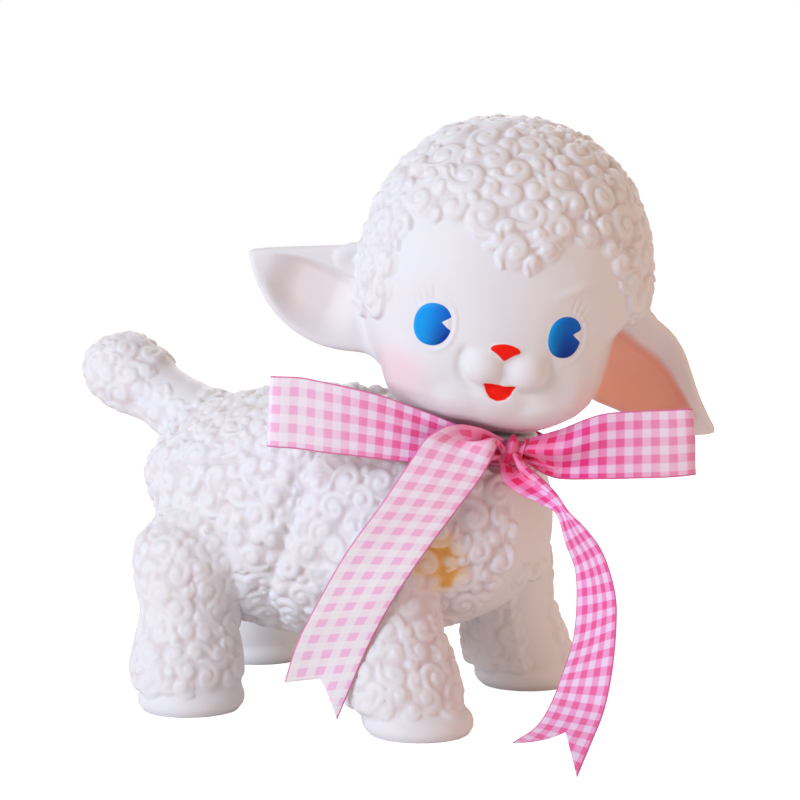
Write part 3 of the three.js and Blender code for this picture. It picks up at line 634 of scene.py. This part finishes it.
eye_edge = np.full(len(head_points), 9.0)
eye_rim = np.full(len(head_points), 9.0)
eye_across = np.zeros(len(head_points))
eye_up = np.zeros(len(head_points))
lash = np.full(len(head_points), 9.0)
for y, z in eyes:
    u, v = hy - y, hz - z
    far = (((np.abs(u) / eye_wide) ** 2.2 + (np.abs(v) / eye_tall) ** 2.2) ** (1 / 2.2) - 1) * 5.5
    notch = (np.abs(v - .9) - (u - 2.1) * .75) / 1.25
    # The offset sets the +y eye's blue darker than the other eye's, as painted shade.
    eye_across = np.where(far < 4, u / eye_wide + (-.25 if y < 0 else .4), eye_across)
    eye_up = np.where(far < 4, v / eye_tall, eye_up)
    eye_edge = np.where(hx > 10, np.minimum(eye_edge, np.maximum(far, -notch)), eye_edge)
    rim = np.exp(-((far - 1.3) / .65) ** 2) * ease(u, -2, 4)
    lift += front * .4 * rim
    eye_rim = np.where(hx > 10, np.minimum(eye_rim, far), eye_rim)
    outer = -1 if y < 0 else 1
    for angle in (96, 110, 124, 138):
        a = math.radians(angle if outer < 0 else 180 - angle)
        root = np.array([eye_wide * math.cos(a), eye_tall * math.sin(a)]) * 1.25
        d = np.array([math.cos(a) * .5 + outer * .1, math.sin(a)]) * 3.8
        w = np.clip(((u - root[0]) * d[0] + (v - root[1]) * d[1]) / (d @ d), 0, 1)
        gap = np.hypot(u - root[0] - w * d[0], v - root[1] - w * d[1]) + .25 * w
        lash = np.where(hx > 10, np.minimum(lash, gap), lash)
lift += front * .5 * ease(-eye_rim, -.3, 1.2)
lift -= front * .34 * np.exp(-(lash / .32) ** 2)


def patch_edge(u, v, corners, radius):
    far = np.full(len(u), 99.0)
    inside = np.full(len(u), -99.0)
    for (a, b), (c, d) in zip(corners, corners[1:] + corners[:1]):
        x, y, size = c - a, d - b, math.hypot(c - a, d - b)
        w = np.clip(((u - a) * x + (v - b) * y) / size ** 2, 0, 1)
        far = np.minimum(far, np.hypot(u - a - w * x, v - b - w * y))
        inside = np.maximum(inside, ((u - a) * y - (v - b) * x) / size)
    return np.where(inside < 0, -far, far) - radius


ny, nz = hy - nose_place[0], hz - nose_place[1]
heart = [(-3.3, 1.3), (0, -1.9), (3.3, 1.3)]
nose_edge = np.where(hx > 20, patch_edge(ny, nz + .07 * ny ** 2, heart, .7), 9)
lift += front * .9 * ease(-nose_edge, -.5, .8)
my, mz = hy - mouth_place[0], hz - mouth_place[1]
bowl = [(-3.9, 1.5), (-3.1, -.1), (-1.7, -1.5), (0, -2), (1.7, -1.5), (3.1, -.1), (3.9, 1.5)]
mouth_edge = np.where(hx > 20, patch_edge(my, mz, bowl, .45), 9)
lift -= front * .9 * ease(-mouth_edge, -.6, 1.0)
lift -= front * .35 * np.exp(-((hy + .5) / .6) ** 2) * ease(hz, 13.5, 15) * (1 - ease(hz, 21, 23))
for side in (-1, 1):
    out, up = (hy - side * 5.6 - .5) * side, hz - 20.6
    far = np.maximum(np.hypot(out, up), .1)
    lift -= front * .8 * np.exp(-((far - 6.9) / 1.2) ** 2) * ease((out - up) / far, -.1, .7)
blush = np.zeros(len(head_points))
for y, z in ((-28, 14), (27, 12)):
    blush = np.maximum(blush, np.exp(-((hy - y) / 9) ** 2 - ((hz - z) / 8) ** 2) * ease(hx, 0, 15))
# Pink paint inside the ears, partly painted shade: the hanging ear takes it at full strength and the raised
# ear faintly, and in the raised ear it deepens with the hollow.
ear_pink = np.zeros(len(head_points))
for side, angle, upper, lower, first, slope, lead, strength in ears:
    along, t, half, n = ear_local(head_points, side, angle, upper, lower)
    rest, face = ear_front(along, t, half, first, slope, lead)
    inside = (face - rest) / ear_hollow if side < 0 else ease(.45 - t, -.05, .15) * ease(33 - along, 0, 7)
    facing = ease(face + .9 - n, -.2, .4) * ease(head_normals[:, 0], 0, .3)
    begun = on_ear * ease(hy * side, 34 - lead, 37 - lead)
    ear_pink = np.maximum(ear_pink, inside * facing * begun * strength)
cap_raised, cap_curl_height = .5, 2.0
cap = cap_raised * ease(in_hair, 1.5, 4) * (1 - on_ear) * (hz > 4)
head_lift = lift + cap + cap_curl_height * head_curls
head_points = head_points + head_normals * head_lift[:, None]
head = mesh_piece("lamb_head", head_points @ head_axes.T + neck_place + body_place, head_faces,
                  {"relief": head_curls, "hair": ease(in_hair, 0, 3) * (1 - on_ear), "eye": eye_edge,
                   "eye_across": eye_across, "eye_up": eye_up, "nose": nose_edge, "mouth": mouth_edge,
                   "blush": blush, "ear_pink": ear_pink})
head_rubber, shader, links, node, mark, mixed, ramp = material_of("white_rubber_painted")
color, _ = old_white(shader, links, node, mark("relief"), mark("hair"))
color = mixed(ramp(mark("blush"), .1, 1, 0, .45), color, (.95, .52, .58, 1))
# Ear pink: pink paint, stronger in the hanging ear and in the raised ear's deepest hollow as painted shade.
color = mixed(mark("ear_pink"), color, (.93, .52, .4, 1))
# Blue eye paint whose gradient is painted light and shade: lighter towards the top and towards -y, darker
# towards the bottom and +y.
blue = mixed(ramp(mark("eye_up"), -1, .8), (.002, .035, .33, 1), (.003, .14, .62, 1))
blue = mixed(ramp(mark("eye_across"), -.95, .6), (.004, .36, .86, 1), blue)
color = mixed(ramp(mark("eye"), .09, -.09), color, blue)
for place in ("nose", "mouth"):
    color = mixed(ramp(mark(place), .12, -.12), color, (1, .012, .005, 1))
links.new(color, shader.inputs["Base Color"])
shader.inputs["Specular IOR Level"].default_value = .15
head.data.materials.append(head_rubber)
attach(head, "head")
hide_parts("head_shell")

# Ribbon loop on the lamb's right: one run of woven pink and white checked ribbon, gathered into the knot.
# It goes out flat, turns back at its end and comes back behind itself, and its stiffness holds it up.
ribbon_width = 18.6
check_size = 4.75
thread_size = .42
bow_place = np.array([44.15, -15.27, 75.65]) + body_place
bow_along = np.array([.9026, .4305, 0])
bow_out = np.array([.4305, -.9026, 0])


def line_through(points, count):
    p = np.asarray(points, float)
    ends = np.vstack([2 * p[0] - p[1], p, 2 * p[-1] - p[-2]])
    knots = np.concatenate([[0], np.cumsum(np.linalg.norm(np.diff(ends, axis=0), axis=1) ** .5 + 1e-6)])
    found = []
    for i in range(1, len(ends) - 2):
        a, b, c, d = ends[i - 1:i + 3]
        ta, tb, tc, td = knots[i - 1:i + 3]
        t = np.linspace(tb, tc, count, endpoint=i == len(ends) - 3)[:, None]
        ab = (tb - t) / (tb - ta) * a + (t - ta) / (tb - ta) * b
        bc = (tc - t) / (tc - tb) * b + (t - tb) / (tc - tb) * c
        cd = (td - t) / (td - tc) * c + (t - tc) / (td - tc) * d
        abc = (tc - t) / (tc - ta) * ab + (t - ta) / (tc - ta) * bc
        bcd = (td - t) / (td - tb) * bc + (t - tb) / (td - tb) * cd
        found.append((tc - t) / (tc - tb) * abc + (t - tb) / (tc - tb) * bcd)
    return np.concatenate(found)


def ribbon_piece(name, upper, lower, folds, fade, held, cut=0.0, turn=0.0, start=0.0, rows=150,
                 flat=ribbon_width):
    columns = 28
    edges = line_through(np.hstack([upper, lower]), 24)
    middle = (edges[:, :3] + edges[:, 3:]) / 2
    way = np.concatenate([[0], np.cumsum(np.linalg.norm(np.diff(middle, axis=0), axis=1))])
    length = way[-1]
    s = np.linspace(-.5, .5, columns + 1)
    spots = np.zeros((rows + 1, columns + 1, 3))
    along = np.zeros((rows + 1, columns + 1))
    t = np.linspace(0, 1, rows + 1)
    for j, share in enumerate(s):
        reach = length - cut * (1 - np.abs(2 * share)) - turn * (.5 - share)
        far = t * reach
        edge = [np.interp(far, way, edges[:, k]) for k in range(6)]
        top, low = np.stack(edge[:3], 1), np.stack(edge[3:], 1)
        spots[:, j] = top * (.5 - share) + low * (.5 + share)
        along[:, j] = far
    ahead = np.gradient(spots, axis=0)
    wide = spots[:, -1:] - spots[:, :1]
    normal = np.cross(ahead, np.broadcast_to(wide, ahead.shape))
    normal /= np.maximum(np.linalg.norm(normal, axis=2, keepdims=True), 1e-9)
    width = np.linalg.norm(wide, axis=2)
    slack = np.sqrt(np.maximum(flat / np.maximum(width, 3) - 1, 0))
    wave = np.cos(2 * math.pi * folds * s + .6) * np.minimum(1.15 * slack * width / (math.pi * folds), 2.2)
    from_knot = [0 * along, along, np.minimum(along, length - along)][held]
    wave *= 1 - .9 * ease(from_knot, 10, 27)
    sway = .25 * np.sin(along * .17 + 2.5 * s[None, :])
    spots = spots + normal * (wave + sway * ease(along, 4, 12))[:, :, None]
    number = np.arange((rows + 1) * (columns + 1)).reshape(rows + 1, columns + 1)
    faces = np.stack([number[:-1, :-1], number[1:, :-1], number[1:, 1:], number[:-1, 1:]], -1).reshape(-1, 4)
    row_place = bow_place + spots[..., :1] * bow_along + spots[..., 1:2] * bow_out
    row_place = row_place + spots[..., 2:] * np.array([0, 0, 1])
    # Painted light: the check turns paler along the runs the light falls on, by the given profile.
    painted_lit_share = np.interp(along / length, np.linspace(0, 1, len(fade)), fade)
    # Painted shade: the ribbon deepens to red towards the knot, and the knot and neck band are deep red all
    # over.
    tight = 1 - ease(from_knot, 4, 17)
    across = np.broadcast_to(s * flat, along.shape)
    marks = {"tight": tight.ravel(), "along": along.ravel() + start, "across": across.ravel(),
             "fade": painted_lit_share.ravel()}
    piece = mesh_piece(name, row_place.reshape(-1, 3), faces, marks)
    solid = piece.modifiers.new("thickness", "SOLIDIFY")
    solid.thickness = .0003
    solid.offset = 0
    piece.data.materials.append(gingham)
    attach(piece, "body")
    return piece, length


gingham, shader, links, node, mark, mixed, ramp = material_of("checked_ribbon")


def bands(label, period, phase):
    scaled = node("ShaderNodeMath", operation="MULTIPLY_ADD")
    links.new(mark(label), scaled.inputs[0])
    scaled.inputs[1].default_value = 2 * math.pi / period
    scaled.inputs[2].default_value = phase
    wave = node("ShaderNodeMath", operation="COSINE")
    links.new(scaled.outputs[0], wave.inputs[0])
    return wave.outputs[0]


both = node("ShaderNodeMath", operation="ADD")
links.new(ramp(bands("along", check_size, 0), -.25, .25), both.inputs[0])
links.new(ramp(bands("across", check_size, .92), -.25, .25), both.inputs[1])
one = ramp(both.outputs[0], 0, 1, way="LINEAR")
two = ramp(both.outputs[0], 1, 2, way="LINEAR")
# Two copies of the check, as painted light and shade: a deeper one for the shaded runs and a paler one for
# the lit runs.
painted_shade_checks = mixed(two, mixed(one, (.93, .68, .9, 1), (.96, .29, .62, 1)), (.92, .055, .29, 1))
painted_lit_checks = mixed(two, mixed(one, (.96, .95, .98, 1), (.965, .88, .96, 1)), (.97, .6, .84, 1))
color = mixed(mark("fade"), painted_shade_checks, painted_lit_checks)
# Painted shade: deep red near the knot, on the knot and on the neck band.
color = mixed(ramp(mark("tight"), 0, 1, 0, .8), color, mixed(two, (.97, .2, .42, 1), (.9, .02, .14, 1)))
side = node("ShaderNodeMath", operation="ABSOLUTE")
links.new(mark("across"), side.inputs[0])
color = mixed(ramp(side.outputs[0], 8.75, 9.05, 0, .85), color, (.8, .16, .4, 1))
links.new(color, shader.inputs["Base Color"])
shader.inputs["Roughness"].default_value = .75
shader.inputs["Sheen Weight"].default_value = .1
shader.inputs["Specular IOR Level"].default_value = .2
threads = node("ShaderNodeMath", operation="ADD")
links.new(bands("along", thread_size, 0), threads.inputs[0])
links.new(bands("across", thread_size, 0), threads.inputs[1])
bump = node("ShaderNodeBump")
bump.inputs["Strength"].default_value = .25
bump.inputs["Distance"].default_value = .00005
links.new(threads.outputs[0], bump.inputs["Height"])
links.new(bump.outputs["Normal"], shader.inputs["Normal"])

loop_right, loop_right_length = ribbon_piece(
    "bow_loop_right",
    [(-3.2, 2.8, 2.6), (-10.4, 4.8, 5), (-17.1, 6.2, 8.2), (-27.1, 7.1, 12.3), (-35.4, 7.5, 15.3),
     (-43.5, 7.7, 17.4), (-51, 7.6, 19), (-57, 7.2, 20.1), (-63, 6.7, 20.3), (-64.8, 5.3, 20.3),
     (-63, 4, 20.1), (-51, 3.4, 17.5), (-35.4, 3.2, 11.5), (-26, 3, 7), (-17, 2, 3.4), (-3.4, -.4, 1)],
    [(-3.4, 2.8, -2.4), (-10.4, 5, -3.4), (-18, 6.6, -3.6), (-28.5, 7.5, -2.8), (-36.5, 7.9, -1.9),
     (-44, 8, -1), (-51.5, 7.8, -.2), (-57.8, 7.3, .7), (-63.9, 6.7, 1.1), (-65.8, 5.3, 1.2),
     (-63.9, 4, 1.1), (-51.5, 3.2, -.4), (-36.5, 2.8, -2), (-27, 2.4, -3), (-18, 1.8, -3.6),
     (-3.4, -.4, -3)],
    folds=1.2, fade=[0, .1, .85, .85, .2, 0], held=2)
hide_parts("ribbon_loop_right")

# Ribbon loop on the lamb's left: the same ribbon, shorter and nearly level.
# It is gathered into the knot at both ends and stands out below the hanging ear.
loop_left, loop_left_length = ribbon_piece(
    "bow_loop_left",
    [(3.2, 2.4, 2.6), (9, 4.6, 4.6), (14.2, 6, 6.2), (24.1, 6.4, 10), (35, 6.8, 11), (43, 6.8, 11.3),
     (47.4, 6.5, 11.5), (48.8, 5.4, 11.3), (47, 4.4, 10.6), (35, 3.6, 8.5), (24, 3.2, 5), (13, 2.2, 2),
     (3.4, -.4, .6)],
    [(3.4, 2.4, -3), (8, 4.6, -6), (12.6, 6, -7.5), (24, 7, -7.6), (35, 7.2, -7.3), (43.5, 7, -7),
     (48.4, 6.4, -6.6), (50, 5, -6.5), (48.4, 3.8, -6.6), (35, 3, -7.2), (24, 2.8, -7.4), (13, 1.8, -6.2),
     (3.4, -.4, -3.2)],
    folds=1.2, fade=[0, 0, .5, .5, 0, 0], held=2, start=1.6)
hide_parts("ribbon_loop_left")

# Ribbon end on the lamb's right: the same ribbon, over the loop and then down beside the shoulder.
# It is cut to a swallow-tail and hangs free, and its check is painted paler, as painted light.
end_right, end_right_length = ribbon_piece(
    "bow_end_right",
    [(-3.0, 3.6, 3.2), (-11, 7.8, 5.6), (-18, 10, 6.6), (-22.8, 10.8, 4.2), (-27.3, 11.2, -2.1),
     (-35, 11.8, -13.5), (-44.3, 13, -26.3), (-52.3, 14.4, -40.1), (-57.8, 15.5, -51), (-61.5, 16.2, -63),
     (-64.2, 16.7, -72.5)],
    [(-3.2, 3.6, -1.5), (-4.2, 7.4, 1), (-4.6, 9.2, .6), (-5.6, 10, -1.8), (-7.8, 10.6, -6),
     (-14.8, 11.6, -15.4), (-23.6, 12.8, -27.2), (-31.6, 14.4, -39), (-37.6, 15.6, -49.8),
     (-42.6, 16.6, -61), (-46.9, 17.2, -71.2)],
    folds=1.2, fade=[.35, .7, .95, 1, 1], held=1, cut=6.2, turn=12.4, start=.8)
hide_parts("ribbon_tail_right")

# Ribbon end on the lamb's left: the same ribbon, out under the knot, a half twist, then down in front.
# Its foot curls forward near the ground and is cut to a swallow-tail.
end_left, end_left_length = ribbon_piece(
    "bow_end_left",
    [(-1.8, 3.4, -4), (-1, 6, -7.6), (3.5, 9, -11), (8, 12.5, -13.2), (11.6, 14, -15.3), (14.6, 13.5, -23.9),
     (17, 15, -30.2), (17, 18.5, -38.5), (15.6, 23.5, -48.3), (12.6, 29, -56.6), (9.7, 34.5, -62),
     (5.3, 42, -66.6), (-1.6, 52, -69.2)],
    [(2.2, 4.4, -1.6), (4.4, 10, -3.6), (8.2, 13.5, -6.4), (12, 16, -10.2), (15, 19, -14.6), (19, 25, -18.9),
     (22.7, 28, -24.5), (25.8, 32, -34.4), (26, 36, -42.1), (24.4, 42, -51.3), (21.6, 49, -60.9),
     (18.5, 56, -66.8), (13.5, 66, -74.7)],
    folds=1.2, fade=[0, .1, .1, .2, .2], held=1, cut=12.5, start=2.0)
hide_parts("ribbon_tail_left")

# Knot: a short run of the ribbon, folded narrow and pulled taut round the middle of the bow, in a deep red
# that is painted shade.
# It holds both loops and both ends, and has soft pleats.
knot_width = 10.5
around = np.linspace(-2.6, 2.6, 15)
knot_front = np.stack([1.3 * np.sin(around), .8 + 4.2 * np.cos(around), -.6 + 3.2 * np.sin(around)], 1)
knot, knot_length = ribbon_piece("bow_knot", knot_front - (3.1, 0, 0), knot_front + (3.1, 0, 0), folds=1.5,
                                 fade=[0, 0], held=0, start=.5, rows=60, flat=knot_width)
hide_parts("ribbon_knot")

# Neck band: the run of the ribbon that goes round the neck below the head, drawn into pleats by the knot.
# It lies on the neck stub and is held by its own tension, and its deep red is painted shade.
band_turn = np.linspace(0, 2 * math.pi, 49)
band_edges = []
band_radius = 17.2
for height in (-1.9, -9.5):
    ring = np.stack([band_radius * np.cos(band_turn), band_radius * np.sin(band_turn),
                     np.full(49, height)], 1)
    ring = ring @ neck_turn.T + neck_place + body_place - bow_place
    band_edges.append(np.stack([ring @ bow_along, ring @ bow_out, ring[:, 2]], 1))
band, band_length = ribbon_piece("bow_neck_band", band_edges[0], band_edges[1], folds=2.5, fade=[0, 0],
                                 held=0, rows=120)
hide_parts("ribbon_neckband")

# Squeaker: a cup, a pierced cap and a plate of hard plastic with a brass reed, snapped into the collar
# in the belly. The solids have the right shape, so they only take better materials.
plastic, shader, links, node, mark, mixed, ramp = material_of("cream_hard_plastic")
grain = node("ShaderNodeTexNoise")
grain.inputs["Scale"].default_value = 900
links.new(mixed(grain.outputs["Fac"], (.86, .83, .77, 1), (.8, .77, .71, 1)), shader.inputs["Base Color"])
shader.inputs["Roughness"].default_value = .4
brass, shader, links, node, mark, mixed, ramp = material_of("thin_brass")
grain = node("ShaderNodeTexNoise")
grain.inputs["Scale"].default_value = 1500
links.new(ramp(grain.outputs["Fac"], .3, .7, .25, .4), shader.inputs["Roughness"])
shader.inputs["Base Color"].default_value = (.78, .55, .2, 1)
shader.inputs["Metallic"].default_value = 1
for name in ("squeaker_cup", "squeaker_reed_plate", "squeaker_cap", "squeaker_reed"):
    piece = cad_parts[name]
    look = brass if name == "squeaker_reed" else plastic
    piece.data.materials.clear()
    piece.data.materials.append(look)

# Stage: a white floor that keeps a soft shadow, and a white room behind it.
# The floor glows for the camera only, and the room is white to the camera and in reflections.
floor = bpy.data.objects.new("floor", bpy.data.meshes.new("floor"))
floor.data.from_pydata([(-4, -4, 0), (4, -4, 0), (4, 4, 0), (-4, 4, 0)], [], [(0, 1, 2, 3)])
bpy.context.scene.collection.objects.link(floor)
paper, shader, links, node, mark, mixed, ramp = material_of("white_floor")
shader.inputs["Base Color"].default_value = (.92, .87, .85, 1)
shader.inputs["Roughness"].default_value = 1
shader.inputs["Specular IOR Level"].default_value = 0
shader.inputs["Emission Color"].default_value = (1, 1, 1, 1)
seen = node("ShaderNodeLightPath")
glow = node("ShaderNodeMath", operation="MULTIPLY")
glow.inputs[1].default_value = .8
links.new(seen.outputs["Is Camera Ray"], glow.inputs[0])
links.new(glow.outputs[0], shader.inputs["Emission Strength"])
floor.data.materials.append(paper)

# Camera: beside the lamb's right shoulder, a little above its back, with a long lens.
camera = bpy.data.objects.new("camera", bpy.data.cameras.new("camera"))
bpy.context.scene.collection.objects.link(camera)
camera.location = (.28374, -.57197, .1369)
camera.rotation_mode = "QUATERNION"
camera.rotation_quaternion = (Vector((.00477, .01291, .0859)) - camera.location).to_track_quat("-Z", "Y")
camera.data.sensor_width = 36
camera.data.lens = 100.9
bpy.context.scene.camera = camera

# Light: a large cool window on the left, a warm wall on the right, a soft window behind, and a warm room.
lamps = [("window", (-.46, -1.02, .5), .6, 10, (.69, .82, 1)),
         ("warm_wall", (.9, .1, .15), .8, 2, (1, .58, .36)),
         ("back_window", (-.3, 1.1, .8), .8, 6, (.86, .93, 1))]
for name, place, size, energy, tint in lamps:
    lamp = bpy.data.objects.new(name, bpy.data.lights.new(name, "AREA"))
    bpy.context.scene.collection.objects.link(lamp)
    lamp.location = place
    lamp.rotation_mode = "QUATERNION"
    lamp.rotation_quaternion = (Vector((0, 0, .08)) - lamp.location).to_track_quat("-Z", "Y")
    lamp.data.size = size
    lamp.data.energy = energy
    lamp.data.color = tint
world = bpy.data.worlds.new("room")
bpy.context.scene.world = world
world.use_nodes = True
nodes, links = world.node_tree.nodes, world.node_tree.links
room = nodes["Background"]
room.inputs["Color"].default_value = (1, .775, .65, 1)
room.inputs["Strength"].default_value = .42
white = nodes.new("ShaderNodeBackground")
white.inputs["Color"].default_value = (1, 1, 1, 1)
seen = nodes.new("ShaderNodeLightPath")
first = nodes.new("ShaderNodeMath")
first.operation = "MAXIMUM"
links.new(seen.outputs["Is Camera Ray"], first.inputs[0])
links.new(seen.outputs["Is Glossy Ray"], first.inputs[1])
clear = nodes.new("ShaderNodeMath")
clear.operation = "MAXIMUM"
links.new(first.outputs[0], clear.inputs[0])
links.new(seen.outputs["Is Transmission Ray"], clear.inputs[1])
choice = nodes.new("ShaderNodeMixShader")
links.new(clear.outputs[0], choice.inputs[0])
links.new(room.outputs[0], choice.inputs[1])
links.new(white.outputs[0], choice.inputs[2])
links.new(choice.outputs[0], nodes["World Output"].inputs["Surface"])

bpy.context.scene.view_settings.view_transform = "Standard"
